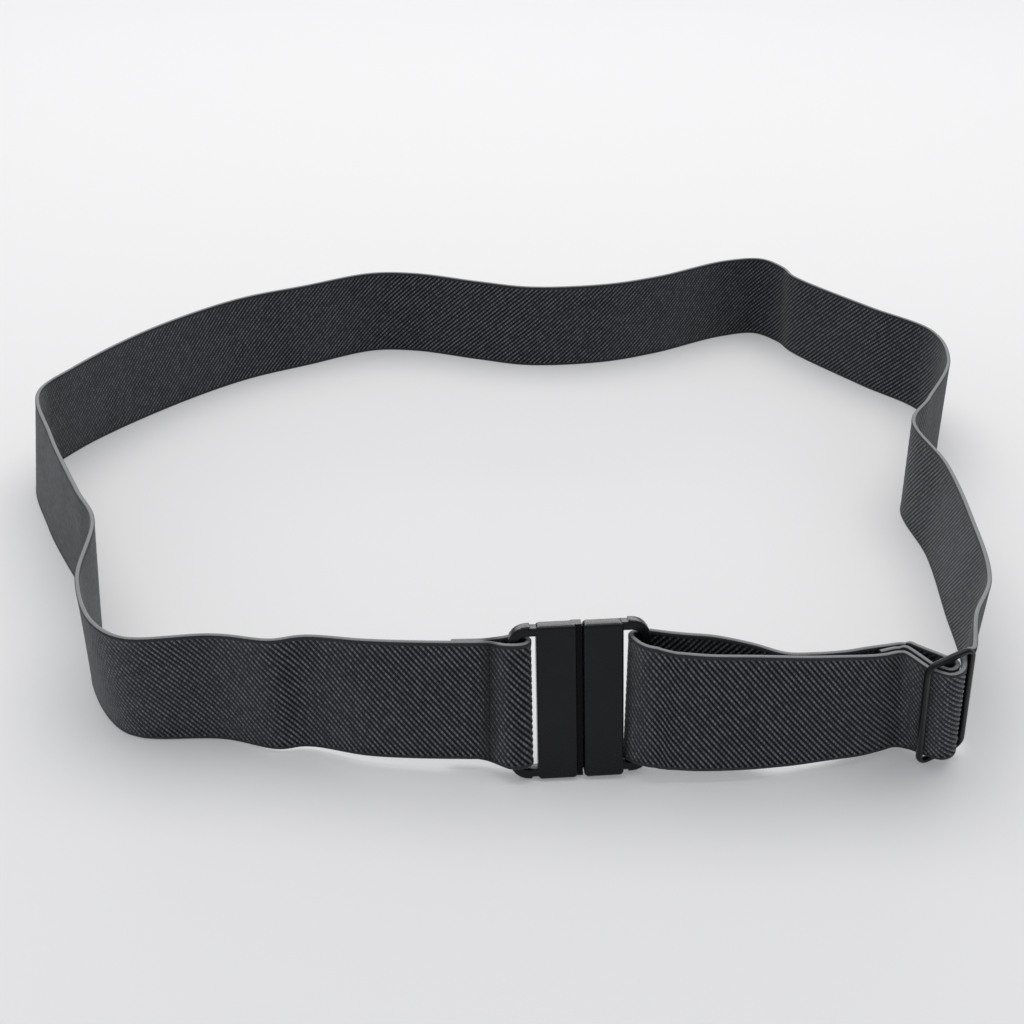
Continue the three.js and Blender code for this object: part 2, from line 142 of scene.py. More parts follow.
# Where the webbing meets and leaves its rounds on the bars, in degrees from across a bar
wrapAngle = {"hook": 112, "catchFrom": 165, "catchTo": 255, "catchEnd": 288, "entering": -46, "back": -50}
routeStep = {"arc": 20, "sample": 0.5}

buckleHeight = webbing["width"] + 2 * (buckleSize["sideClearance"] + buckleSize["rail"])
settledHeight = buckleHeight - 2 * buckleSize["settling"]
bailEnd = buckleSize["groove"] / 2 + buckleSize["plate"] + buckleSize["bailReach"]
bailBarMiddle = bailEnd - buckleSize["bailBar"] / 2
hookBarDepth = -buckleSize["hookSetback"] - buckleSize["bailDepth"] / 2
catchBarDepth = -buckleSize["catchSetback"] - buckleSize["bailDepth"] / 2
sliderPitch = sliderSize["bar"] + 2 * webbing["thickness"] + 3 * webbing["clearance"] + sliderSize["spare"]
sliderHeight = webbing["width"] + 2 * (sliderSize["sideClearance"] + sliderSize["bar"])


def lerp(a, b, share):
    return a + (b - a) * share


def smoothStep(value, low, high):
    share = min(1, max(0, (value - low) / (high - low)))
    return share * share * (3 - 2 * share)


def atHardware(axes, height, across, out, tilt=0, lean=0):
    rise = Vector((math.tan(math.radians(tilt)), 1, math.tan(math.radians(lean))))
    return axes @ Vector((across, height / 2, out)), axes.to_3x3() @ rise


def riseOf(lean, tilt, side, ahead):
    upright = vertical * math.cos(math.radians(lean)) + side * math.sin(math.radians(lean))
    return upright + ahead * math.tan(math.radians(tilt))


def besideBuckle(row):
    across, out, lean = row
    at, _ = atHardware(buckleAxes, buckleHeight, across * webbing["width"] - bailBarMiddle,
                       hookBarDepth + out * webbing["width"])
    front = buckleAxes.to_3x3() @ Vector((0, 0, 1))
    front.z = 0
    return at, riseOf(lean, 0, front.normalized(), vertical)


def besideSlider(row):
    across, out, lean = row
    return atHardware(sliderAxes, sliderHeight, across * webbing["width"], out * webbing["width"], 0, lean)


def roundBar(axes, height, across, out, radius, start, end, tilt=0):
    steps = max(1, math.floor(abs(end - start) / routeStep["arc"] + 0.5))
    knots = []
    for i in range(steps + 1):
        angle = math.radians(lerp(start, end, i / steps))
        place = (across + radius * math.cos(angle), out + radius * math.sin(angle))
        knots.append(atHardware(axes, height, *place, tilt))
    return knots


def wrapRadius(width, depth, bevel, layer):
    reach = max(math.hypot(width / 2 - bevel, depth / 2), math.hypot(width / 2, depth / 2 - bevel))
    return reach + (layer + 1) * webbing["clearance"] + (layer + 0.5) * webbing["thickness"]


bailRadius = wrapRadius(buckleSize["bailBar"], buckleSize["bailDepth"], buckleSize["bailBevel"], 0)
innerRadius, outerRadius = [
    wrapRadius(sliderSize["bar"], sliderSize["bar"], sliderSize["bevel"], layer) for layer in (0, 1)
]
crossing = math.degrees(math.acos((innerRadius + outerRadius) / sliderPitch))


def sliderRound(bar, radius, start, end):
    return roundBar(sliderAxes, sliderHeight, bar * sliderPitch, 0, radius, start, end)


def hookFold():
    knots = []
    hung = bailBarMiddle - buckleSize["hookSlack"]
    for across, a, b in (
        (bailBarMiddle, -wrapAngle["hook"], -90), (hung, -90, 90), (bailBarMiddle, 90, wrapAngle["hook"])
    ):
        knots += roundBar(buckleAxes, buckleHeight, -across, hookBarDepth, bailRadius, a, b)
    return knots


def catchFold():
    knots = [
        atHardware(buckleAxes, settledHeight, bailBarMiddle + across * bailRadius,
                   catchBarDepth + out * bailRadius, 0, lean)
        for across, out, lean in looseFold
    ]
    hung = bailBarMiddle - buckleSize["catchSlack"]
    for across, a, b, tilt in (
        (hung, wrapAngle["catchFrom"], wrapAngle["catchTo"], buckleSize["catchTilt"]),
        (bailBarMiddle, 270, wrapAngle["catchEnd"], 0),
    ):
        knots += roundBar(buckleAxes, settledHeight, across, catchBarDepth, bailRadius, a, b, tilt)
    return knots


def floorGap(knot):
    return knot[0].z - webbing["width"] / 2 * knot[1].z


def doubleStretch(rows):
    start = atHardware(buckleAxes, settledHeight, bailBarMiddle, catchBarDepth)
    end = atHardware(sliderAxes, sliderHeight, -sliderPitch, 0)
    run = end[0] - start[0]
    run.z = 0
    inwards = vertical.cross(run)
    knots = []
    for along, inside, lean, tilt in rows:
        rise = riseOf(lean, tilt, -inwards.normalized(), -run.normalized())
        at = start[0] + run * along + inwards * inside
        at.z = lerp(floorGap(start), floorGap(end), along) + webbing["width"] / 2 * rise.z
        knots.append((at, rise))
    return knots


def loop(before, after):
    places = [
        loopMiddle + Vector((row[0] * loopSize["width"] / 2, row[1] * loopSize["depth"] / 2, 0))
        for row in loopRoute
    ]
    ends = [Vector((knot[0].x, knot[0].y, 0)) for knot in (before, after)]
    chain = [ends[0], *places, ends[1]]
    knots = []
    for i, (_, _, lean, tilt) in enumerate(loopRoute):
        ahead = (chain[i + 2] - chain[i]).normalized()
        rise = riseOf(lean, tilt, vertical.cross(ahead), ahead)
        lift = floorGap(before) * (1 - smoothStep((places[i] - ends[0]).length, 0, loopSize["liftRun"]))
        lift += floorGap(after) * (1 - smoothStep((places[i] - ends[1]).length, 0, loopSize["sliderLiftRun"]))
        at = places[i].copy()
        at.z = lift + webbing["width"] / 2 * rise.z
        knots.append((at, rise))
    return knots


def strapKnots():
    seam = besideBuckle(seamFront)
    intoSlider = sliderRound(1, innerRadius, wrapAngle["entering"], crossing - 180)
    return [
        *map(besideBuckle, sewnFlap),
        *hookFold(),
        seam,
        *loop(seam, intoSlider[0]),
        *intoSlider,
        *sliderRound(0, outerRadius, crossing, 180 - crossing),
        *sliderRound(-1, innerRadius, -crossing, -crossing),
        besideSlider(leavingSlider["front"]),
        *doubleStretch(frontLayer),
        *catchFold(),
        *doubleStretch(backLayer),
        besideSlider(leavingSlider["back"]),
        *sliderRound(0, innerRadius, wrapAngle["back"], 180 - crossing),
        *sliderRound(-1, outerRadius, -crossing, -crossing),
        besideSlider(leavingSlider["loose"]),
        *doubleStretch(looseEnd),
    ]


def throughPoints(points, spaced):
    # A Catmull-Rom curve through points, as functions of the stretch and the share of it
    chain = [2 * points[0] - points[1], *points, 2 * points[-1] - points[-2]]

    def pointAt(i, share):
        before, start, end, after = chain[i:i + 4]
        leave, arrive = (end - before) / 2, (after - start) / 2
        if spaced:
            first, middle, last = [
                math.sqrt((b - a).length) for a, b in ((before, start), (start, end), (end, after))
            ]
            middle = middle if middle > 1e-4 else 1
            first = first if first > 1e-4 else middle
            last = last if last > 1e-4 else middle
            step = (end - start) / middle
            leave = ((start - before) / first - (end - before) / (first + middle) + step) * middle
            arrive = (step - (after - start) / (middle + last) + (after - end) / last) * middle
        bend = start * 2 - end * 2 + leave + arrive
        turn = end * 3 - start * 3 - leave * 2 - arrive
        return start + leave * share + turn * share ** 2 + bend * share ** 3

    return pointAt


def strapRoute():
    # Evenly close points of the webbing's middle, with the direction across it
    knots = strapKnots()
    middle = throughPoints([at for at, _ in knots], True)
    rises = throughPoints([rise for _, rise in knots], False)
    route = []
    for i in range(len(knots) - 1):
        steps = max(1, round((knots[i + 1][0] - knots[i][0]).length / routeStep["sample"]))
        for step in range(steps + (i == len(knots) - 2)):
            share = step / steps
            at, rise = middle(i, share), rises(i, share)
            at.z = webbing["width"] / 2 * rise.z + lerp(floorGap(knots[i]), floorGap(knots[i + 1]), share)
            if not route or (at - route[-1][0]).length > routeStep["sample"] / 5:
                route.append((at, rise))
    return route


route = strapRoute()
routeLength = sum((b[0] - a[0]).length for a, b in zip(route, route[1:]))
print("route laid,", len(route), "points,", round(routeLength), "mm")


def lengthAt(knot):
    # How far along the route its nearest point to a knot lies
    travelled = [0.0]
    for a, b in zip(route, route[1:]):
        travelled.append(travelled[-1] + (b[0] - a[0]).length)
    nearest = min(range(len(route)), key=lambda i: (route[i][0] - knot[0]).length)
    return travelled[nearest]


# The sewn seam: stitches in a row and their size; inset moves each row towards the fold
seam = {"count": 17, "spacing": 2.15, "size": (0.55, 1.6, 0.4), "raised": 0.02, "inset": 2}
flapSeam = lengthAt(besideBuckle(sewnFlap[-1])) + seam["inset"]
frontSeam = lengthAt(besideBuckle(seamFront)) - seam["inset"]


# Node helpers

def addNode(tree, kind, **settings):
    node = tree.nodes.new(kind)
    for name, value in settings.items():
        setattr(node, name, value)
    return node


def socket(sockets, name):
    # The socket of that name which the node's data type has switched on
    return next(s for s in sockets if s.name == name and s.enabled)


def feed(tree, target, value):
    if isinstance(value, bpy.types.NodeSocket):
        tree.links.new(value, target)
    else:
        target.default_value = value


def calc(tree, operation, *values, clamp=False):
    node = addNode(tree, "ShaderNodeMath", operation=operation, use_clamp=clamp)
    for target, value in zip(node.inputs, values):
        feed(tree, target, value)
    return node.outputs[0]


def vectorCalc(tree, operation, *values, scale=None):
    node = addNode(tree, "ShaderNodeVectorMath", operation=operation)
    for target, value in zip(node.inputs, values):
        feed(tree, target, value)
    if scale is not None:
        feed(tree, node.inputs["Scale"], scale)
    return node.outputs["Value" if operation in ("DOT_PRODUCT", "LENGTH") else "Vector"]


def ramp(tree, value, low, high):
    # 0 below low, 1 above high, smooth between
    node = addNode(tree, "ShaderNodeMapRange", interpolation_type="SMOOTHSTEP")
    feed(tree, node.inputs["Value"], value)
    feed(tree, node.inputs["From Min"], low)
    feed(tree, node.inputs["From Max"], high)
    return node.outputs["Result"]


def lerpNode(tree, low, high, share):
    return calc(tree, "ADD", low, calc(tree, "MULTIPLY", share, high - low))


def mixColour(tree, share, a, b, blend="MIX"):
    node = addNode(tree, "ShaderNodeMix", data_type="RGBA", blend_type=blend)
    feed(tree, node.inputs["Factor"], share)
    feed(tree, node.inputs[6], a)
    feed(tree, node.inputs[7], b)
    return node.outputs[2]


# Material groups that more than one finish uses

def newGroup(name, inputs, outputs):
    group = bpy.data.node_groups.new(name, "ShaderNodeTree")
    for label, kind, value in inputs:
        made = group.interface.new_socket(label, in_out="INPUT", socket_type="NodeSocket" + kind)
        if value is not None:
            made.default_value = value
    for label, kind in outputs:
        group.interface.new_socket(label, in_out="OUTPUT", socket_type="NodeSocket" + kind)
    return group, addNode(group, "NodeGroupInput").outputs, addNode(group, "NodeGroupOutput").inputs


def makeFineGrain():
    # Cloudy and fine variation, for colour, roughness and a faint relief
    tree, given, made = newGroup(
        "fineGrain",
        [("Vector", "Vector", None), ("Size", "Float", 400.0), ("Clouds", "Float", 40.0)],
        [("Fine", "Float"), ("Cloudy", "Float")],
    )
    for label, scale, detail in (("Fine", given["Size"], 4), ("Cloudy", given["Clouds"], 2)):
        noise = addNode(tree, "ShaderNodeTexNoise")
        feed(tree, noise.inputs["Vector"], given["Vector"])
        feed(tree, noise.inputs["Scale"], scale)
        noise.inputs["Detail"].default_value = detail
        tree.links.new(noise.outputs["Fac"], made[label])
    return tree


fineGrain = makeFineGrain()


def useGrain(tree, vector, size, clouds):
    node = addNode(tree, "ShaderNodeGroup", node_tree=fineGrain)
    tree.links.new(vector, node.inputs["Vector"])
    node.inputs["Size"].default_value = size
    node.inputs["Clouds"].default_value = clouds
    return node.outputs["Fine"], node.outputs["Cloudy"]


def newMaterial(name):
    material = bpy.data.materials.new(name)
    material.use_nodes = True
    return material, material.node_tree, material.node_tree.nodes["Principled BSDF"]


# Webbing material: diagonal cords of short floats, with dark nicks between them, and painted shade in the
# gaps between the cords

weave = {
    # millimetres; stagger, twist and wobble are shares of a float or of a cord
    "ribPitch": 1.74, "slope": 0.85, "float": 1.15, "stagger": 0.37, "twist": 0.45, "wobble": 0.25,
    "selvedge": 1.2, "edgeFace": 0.2, "edgeThread": 0.85, "seamReach": 4.0,
    # gapShadeColour is painted shade: a near-black that stands in for the shadow deep between the cords
    "gapShadeColour": (0.002, 0.0024, 0.003, 1), "ribColour": (0.178, 0.197, 0.208, 1),
    "selvedgeColour": (0.03, 0.034, 0.037, 1), "edgeColour": (0.26, 0.268, 0.266, 1),
    # shares of full colour or full height that are left; lowerEdgeShade and seamShade are painted shade on
    # the lower edge and along the seams
    "nickColour": 0.36, "nickHeight": 0.76, "lowerEdgeShade": 0.25, "seamShade": 0.45,
    "unevenness": 0.48, "fleck": 0.56, "relief": 0.0004,
    "roughness": 0.75, "specular": 0.15, "sheen": 0.15, "sheenRoughness": 0.45,
}


def makeWebbingMaterial():
    material, tree, surface = newMaterial("webbing")
    place = addNode(tree, "ShaderNodeUVMap", uv_map="weave").outputs["UV"]
    split = addNode(tree, "ShaderNodeSeparateXYZ")
    tree.links.new(place, split.inputs[0])
    along, across = split.outputs["X"], split.outputs["Y"]
    grainPlace = addNode(tree, "ShaderNodeTexCoord").outputs["Object"]
    fine, cloudy = useGrain(tree, grainPlace, 2600.0, 90.0)

    wobble = calc(tree, "MULTIPLY", calc(tree, "SUBTRACT", cloudy, 0.5), weave["wobble"])
    shifted = calc(tree, "SUBTRACT", along, calc(tree, "MULTIPLY", across, weave["slope"]))
    phase = calc(tree, "ADD", calc(tree, "DIVIDE", shifted, weave["ribPitch"]), wobble)
    inRib = calc(tree, "FRACT", phase)
    ribIndex = calc(tree, "FLOOR", phase)
    cord = calc(tree, "SINE", calc(tree, "MULTIPLY", inRib, math.pi))

    downRib = calc(tree, "DIVIDE", calc(tree, "ADD", along, across), math.sqrt(2) * weave["float"])
    staggered = calc(tree, "ADD", downRib, calc(tree, "MULTIPLY", ribIndex, weave["stagger"]))
    twisted = calc(tree, "ADD", staggered, calc(tree, "MULTIPLY", inRib, weave["twist"]))
    floatWave = calc(tree, "SINE", calc(tree, "MULTIPLY", calc(tree, "FRACT", twisted), math.pi))

    ribbed = calc(tree, "MULTIPLY", ramp(tree, cord, 0.5, 1.0),
                  lerpNode(tree, weave["nickColour"], 1.0, floatWave))
    height = calc(tree, "MULTIPLY", calc(tree, "POWER", cord, 0.7),
                  lerpNode(tree, weave["nickHeight"], 1.0, floatWave))
    each = addNode(tree, "ShaderNodeCombineXYZ")
    tree.links.new(ribIndex, each.inputs["X"])
    tree.links.new(calc(tree, "FLOOR", twisted), each.inputs["Y"])
    uneven = addNode(tree, "ShaderNodeTexWhiteNoise", noise_dimensions="2D")
    tree.links.new(each.outputs[0], uneven.inputs["Vector"])
    lit = lerpNode(tree, 1 - weave["unevenness"], 1.0, uneven.outputs["Value"])
    ribbed = calc(tree, "MULTIPLY", ribbed, lit)
    reach = calc(tree, "ABSOLUTE", across)
    cordsEnd = webbing["width"] / 2 - weave["selvedge"]
    onEdge = ramp(tree, reach, cordsEnd - 0.15, cordsEnd + 0.1)
    edgeThreads = calc(tree, "SINE", calc(tree, "MULTIPLY", along, 2 * math.pi / weave["edgeThread"]))
    edgeHeight = lerpNode(tree, 0.45, 0.6, calc(tree, "ABSOLUTE", edgeThreads))

    # Painted shade: between the cords the colour falls to the near-black gap shade
    colour = mixColour(tree, ribbed, weave["gapShadeColour"], weave["ribColour"])
    colour = mixColour(tree, onEdge, colour, weave["selvedgeColour"])
    sideStart = webbing["width"] / 2 - weave["edgeFace"]
    onSide = ramp(tree, reach, sideStart - 0.05, sideStart + 0.05)
    # Painted shade: the lower edge takes only a share of the light edge colour, as if it stood in shadow
    paintedEdgeShade = lerpNode(tree, weave["lowerEdgeShade"], 1.0, ramp(tree, across, -1.0, 1.0))
    colour = mixColour(tree, calc(tree, "MULTIPLY", onSide, paintedEdgeShade), colour, weave["edgeColour"])
    shade = calc(tree, "ADD", 1 - weave["fleck"] / 2, calc(tree, "MULTIPLY", fine, weave["fleck"]))
    # Painted shade in the valley along each sewn seam: the colour darkens towards the seam's line
    for seamPlace in (flapSeam, frontSeam):
        fromSeam = calc(tree, "ABSOLUTE", calc(tree, "SUBTRACT", along, seamPlace))
        seamValleyShade = lerpNode(tree, weave["seamShade"], 1.0, ramp(tree, fromSeam, 0.5, weave["seamReach"]))
        shade = calc(tree, "MULTIPLY", shade, seamValleyShade)
    shades = addNode(tree, "ShaderNodeCombineColor")
    for target in shades.inputs[:3]:
        tree.links.new(shade, target)
    shaded = mixColour(tree, 1.0, colour, shades.outputs[0], "MULTIPLY")
    tree.links.new(shaded, surface.inputs["Base Color"])
    level = addNode(tree, "ShaderNodeMix", data_type="FLOAT")
    for target, value in zip([s for s in level.inputs if s.enabled], (onEdge, height, edgeHeight)):
        feed(tree, target, value)
    bumped = calc(tree, "ADD", socket(level.outputs, "Result"), calc(tree, "MULTIPLY", fine, 0.12))
    bump = addNode(tree, "ShaderNodeBump")
    bump.inputs["Distance"].default_value = weave["relief"]
    bump.inputs["Strength"].default_value = 1.0
    tree.links.new(bumped, bump.inputs["Height"])
    tree.links.new(bump.outputs["Normal"], surface.inputs["Normal"])
    surface.inputs["Roughness"].default_value = weave["roughness"]
    surface.inputs["Specular IOR Level"].default_value = weave["specular"]
    surface.inputs["Sheen Weight"].default_value = weave["sheen"]
    surface.inputs["Sheen Roughness"].default_value = weave["sheenRoughness"]
    return material


# Paint and thread: colour, roughness, size of the grain, its relief in metres
paints = {
    "thread": ((0.008, 0.009, 0.01, 1), 0.6, 2500.0, 0.00003),
    "buckle_paint": ((0.005, 0.0056, 0.0082, 1), 0.26, 1800.0, 0.000006),
    # groove_paint is painted shade: darker than the buckle's paint, for the shadow in the groove
    "groove_paint": ((0.002, 0.002, 0.0028, 1), 0.7, 1800.0, 0.000006),
    "slider_paint": ((0.006, 0.0063, 0.007, 1), 0.28, 1500.0, 0.000006),
}
# Handling marks go from low to high of the cloudy noise and lighten the paint by the wear
paintLook = {
    "specular": 0.22, "clouds": 120.0, "wearFrom": 0.45, "wearTo": 0.75, "wear": 0.5, "wornShade": 1.5,
    "smoother": 0.05, "rougher": 0.12,
}


def makePaint(name):
    colour, roughness, grainSize, relief = paints[name]
    material, tree, surface = newMaterial(name)
    place = addNode(tree, "ShaderNodeTexCoord").outputs["Object"]
    fine, cloudy = useGrain(tree, place, grainSize, paintLook["clouds"])
    worn = ramp(tree, cloudy, paintLook["wearFrom"], paintLook["wearTo"])
    lighter = tuple(channel * paintLook["wornShade"] for channel in colour[:3]) + (1,)
    painted = mixColour(tree, calc(tree, "MULTIPLY", worn, paintLook["wear"]), colour, lighter)
    tree.links.new(painted, surface.inputs["Base Color"])
    spread = calc(tree, "MULTIPLY", fine, paintLook["rougher"])
    tree.links.new(calc(tree, "ADD", roughness - paintLook["smoother"], spread), surface.inputs["Roughness"])
    bump = addNode(tree, "ShaderNodeBump")
    bump.inputs["Distance"].default_value = relief
    tree.links.new(fine, bump.inputs["Height"])
    tree.links.new(bump.outputs["Normal"], surface.inputs["Normal"])
    surface.inputs["Specular IOR Level"].default_value = paintLook["specular"]
    return material


webbingMaterial = makeWebbingMaterial()
threadMaterial, bucklePaint, grooveShadePaint, sliderPaint = map(makePaint, paints)
print("materials made")


# The strap: a flat ribbed strip, wrapped along the route by Geometry Nodes

strip = {
    # extra is the length the elastic gains between from and to, most of it halfway
    "extra": 140, "from": 150, "to": 920, "samplesPerRib": 3, "openRows": 9, "ribBlend": 0.3,
    "ribDepth": 0.28, "edgeRound": 0.35, "edgeFlat": 0.45, "fineFrom": (0, 950), "fineTo": (56, 1190),
    "smoothUnder": 75,
}
stripLength = routeLength - strip["extra"]


def meshObject(name, mesh):
    made = bpy.data.objects.new(name, mesh)
    bpy.context.scene.collection.objects.link(made)
    return made


def makeRouteMesh():
    mesh = bpy.data.meshes.new("strap_route")
    edges = [(i, i + 1) for i in range(len(route) - 1)]
    mesh.from_pydata([at * mm for at, _ in route], edges, [])
    rises = mesh.attributes.new("rise", "FLOAT_VECTOR", "POINT")
    rises.data.foreach_set("vector", [value for _, rise in route for value in rise])
    made = meshObject("strap_route", mesh)
    made.hide_render = True
    return made


def stripSection():
    # Points round the webbing's section, across and height, one face up and the other back
    half, thick = webbing["width"] / 2, webbing["thickness"] / 2
    cords = half - weave["selvedge"]
    ribbed = np.linspace(strip["ribBlend"] - cords, cords - strip["ribBlend"], strip["openRows"] + 1)
    face = [strip["edgeRound"] - half, -cords, *ribbed, cords, half - strip["edgeRound"]]
    middle = thick * strip["edgeFlat"]
    return [
        *((across, thick) for across in face), (half, middle), (half, -middle),
        *((across, -thick) for across in reversed(face)), (-half, -middle), (-half, middle),
    ]


def makeFlatStrip():
    section = stripSection()
    step = weave["ribPitch"] / strip["samplesPerRib"]
    shear = webbing["width"] / 2 * weave["slope"]
    columns = math.ceil((stripLength + 2 * shear) / step) + 2 * strip["samplesPerRib"]
    first = -(math.ceil(shear / weave["ribPitch"]) + 1) * weave["ribPitch"]
    points = [
        (first + i * step + across * weave["slope"], across, height)
        for i in range(columns) for across, height in section
    ]
    around = len(section)
    faces = []
    for i in range(columns - 1):
        for j in range(around):
            k = (j + 1) % around
            faces.append((i * around + j, i * around + k, (i + 1) * around + k, (i + 1) * around + j))
    mesh = bpy.data.meshes.new("flat_strip")
    mesh.from_pydata(points, [], faces)
    return mesh


def squareOff(bm):
    # The slanting ends are cut square and closed
    for place, way in ((0, -1), (stripLength, 1)):
        cut = bmesh.ops.bisect_plane(
            bm, geom=bm.verts[:] + bm.edges[:] + bm.faces[:], dist=1e-5,
            plane_co=(place, 0, 0), plane_no=(way, 0, 0), clear_outer=True,
        )
        rim = [item for item in cut["geom_cut"] if isinstance(item, bmesh.types.BMEdge)]
        bmesh.ops.contextual_create(bm, geom=rim)


def refineFolds(bm):
    # Twice the rows where the webbing turns round a bar
    rows = stripSection()[2:3 + strip["openRows"]]
    for a, b in zip(rows, rows[1:]):
        between = (a[0] + b[0]) / 2
        for low, high in zip(strip["fineFrom"], strip["fineTo"]):
            faces = []
            for f in bm.faces:
                centre = f.calc_center_bounds()
                if low < centre.x < high and abs(centre.y - between) < b[0] - a[0]:
                    faces.append(f)
            edges = {e for f in faces for e in f.edges}
            verts = {v for f in faces for v in f.verts}
            bmesh.ops.bisect_plane(
                bm, geom=[*verts, *edges, *faces], dist=1e-5, plane_co=(0, between, 0), plane_no=(0, 1, 0)
            )


def weaveUv(bm):
    layer = bm.loops.layers.uv.new("weave")
    for face in bm.faces:
        for corner in face.loops:
            corner[layer].uv = corner.vert.co.xy


def stitchRows(tree, given):
    # Thread seen on both faces of the sewn seam, still on the flat strip
    grid = addNode(tree, "GeometryNodeMeshGrid")
    tree.links.new(given["Seams apart"], grid.inputs["Size X"])
    gaps = calc(tree, "SUBTRACT", given["Stitches"], 1.0)
    tree.links.new(calc(tree, "MULTIPLY", gaps, given["Stitch spacing"]), grid.inputs["Size Y"])
    grid.inputs["Vertices X"].default_value = 2
    tree.links.new(given["Stitches"], grid.inputs["Vertices Y"])
    ball = addNode(tree, "GeometryNodeMeshUVSphere")
    ball.inputs["Segments"].default_value = 8
    ball.inputs["Rings"].default_value = 6
    ball.inputs["Radius"].default_value = 0.5
    copies = addNode(tree, "GeometryNodeInstanceOnPoints")
    tree.links.new(grid.outputs["Mesh"], copies.inputs["Points"])
    tree.links.new(ball.outputs["Mesh"], copies.inputs["Instance"])
    tree.links.new(given["Stitch size"], copies.inputs["Scale"])
    placed = addNode(tree, "GeometryNodeTransform")
    tree.links.new(copies.outputs["Instances"], placed.inputs["Geometry"])
    tree.links.new(given["Seam middle"], placed.inputs["Translation"])
    solid = addNode(tree, "GeometryNodeRealizeInstances")
    tree.links.new(placed.outputs["Geometry"], solid.inputs["Geometry"])
    marked = addNode(tree, "GeometryNodeStoreNamedAttribute", data_type="BOOLEAN", domain="FACE")
    tree.links.new(solid.outputs["Geometry"], marked.inputs["Geometry"])
    marked.inputs["Name"].default_value = "stitch"
    socket(marked.inputs, "Value").default_value = True
    return marked.outputs["Geometry"]


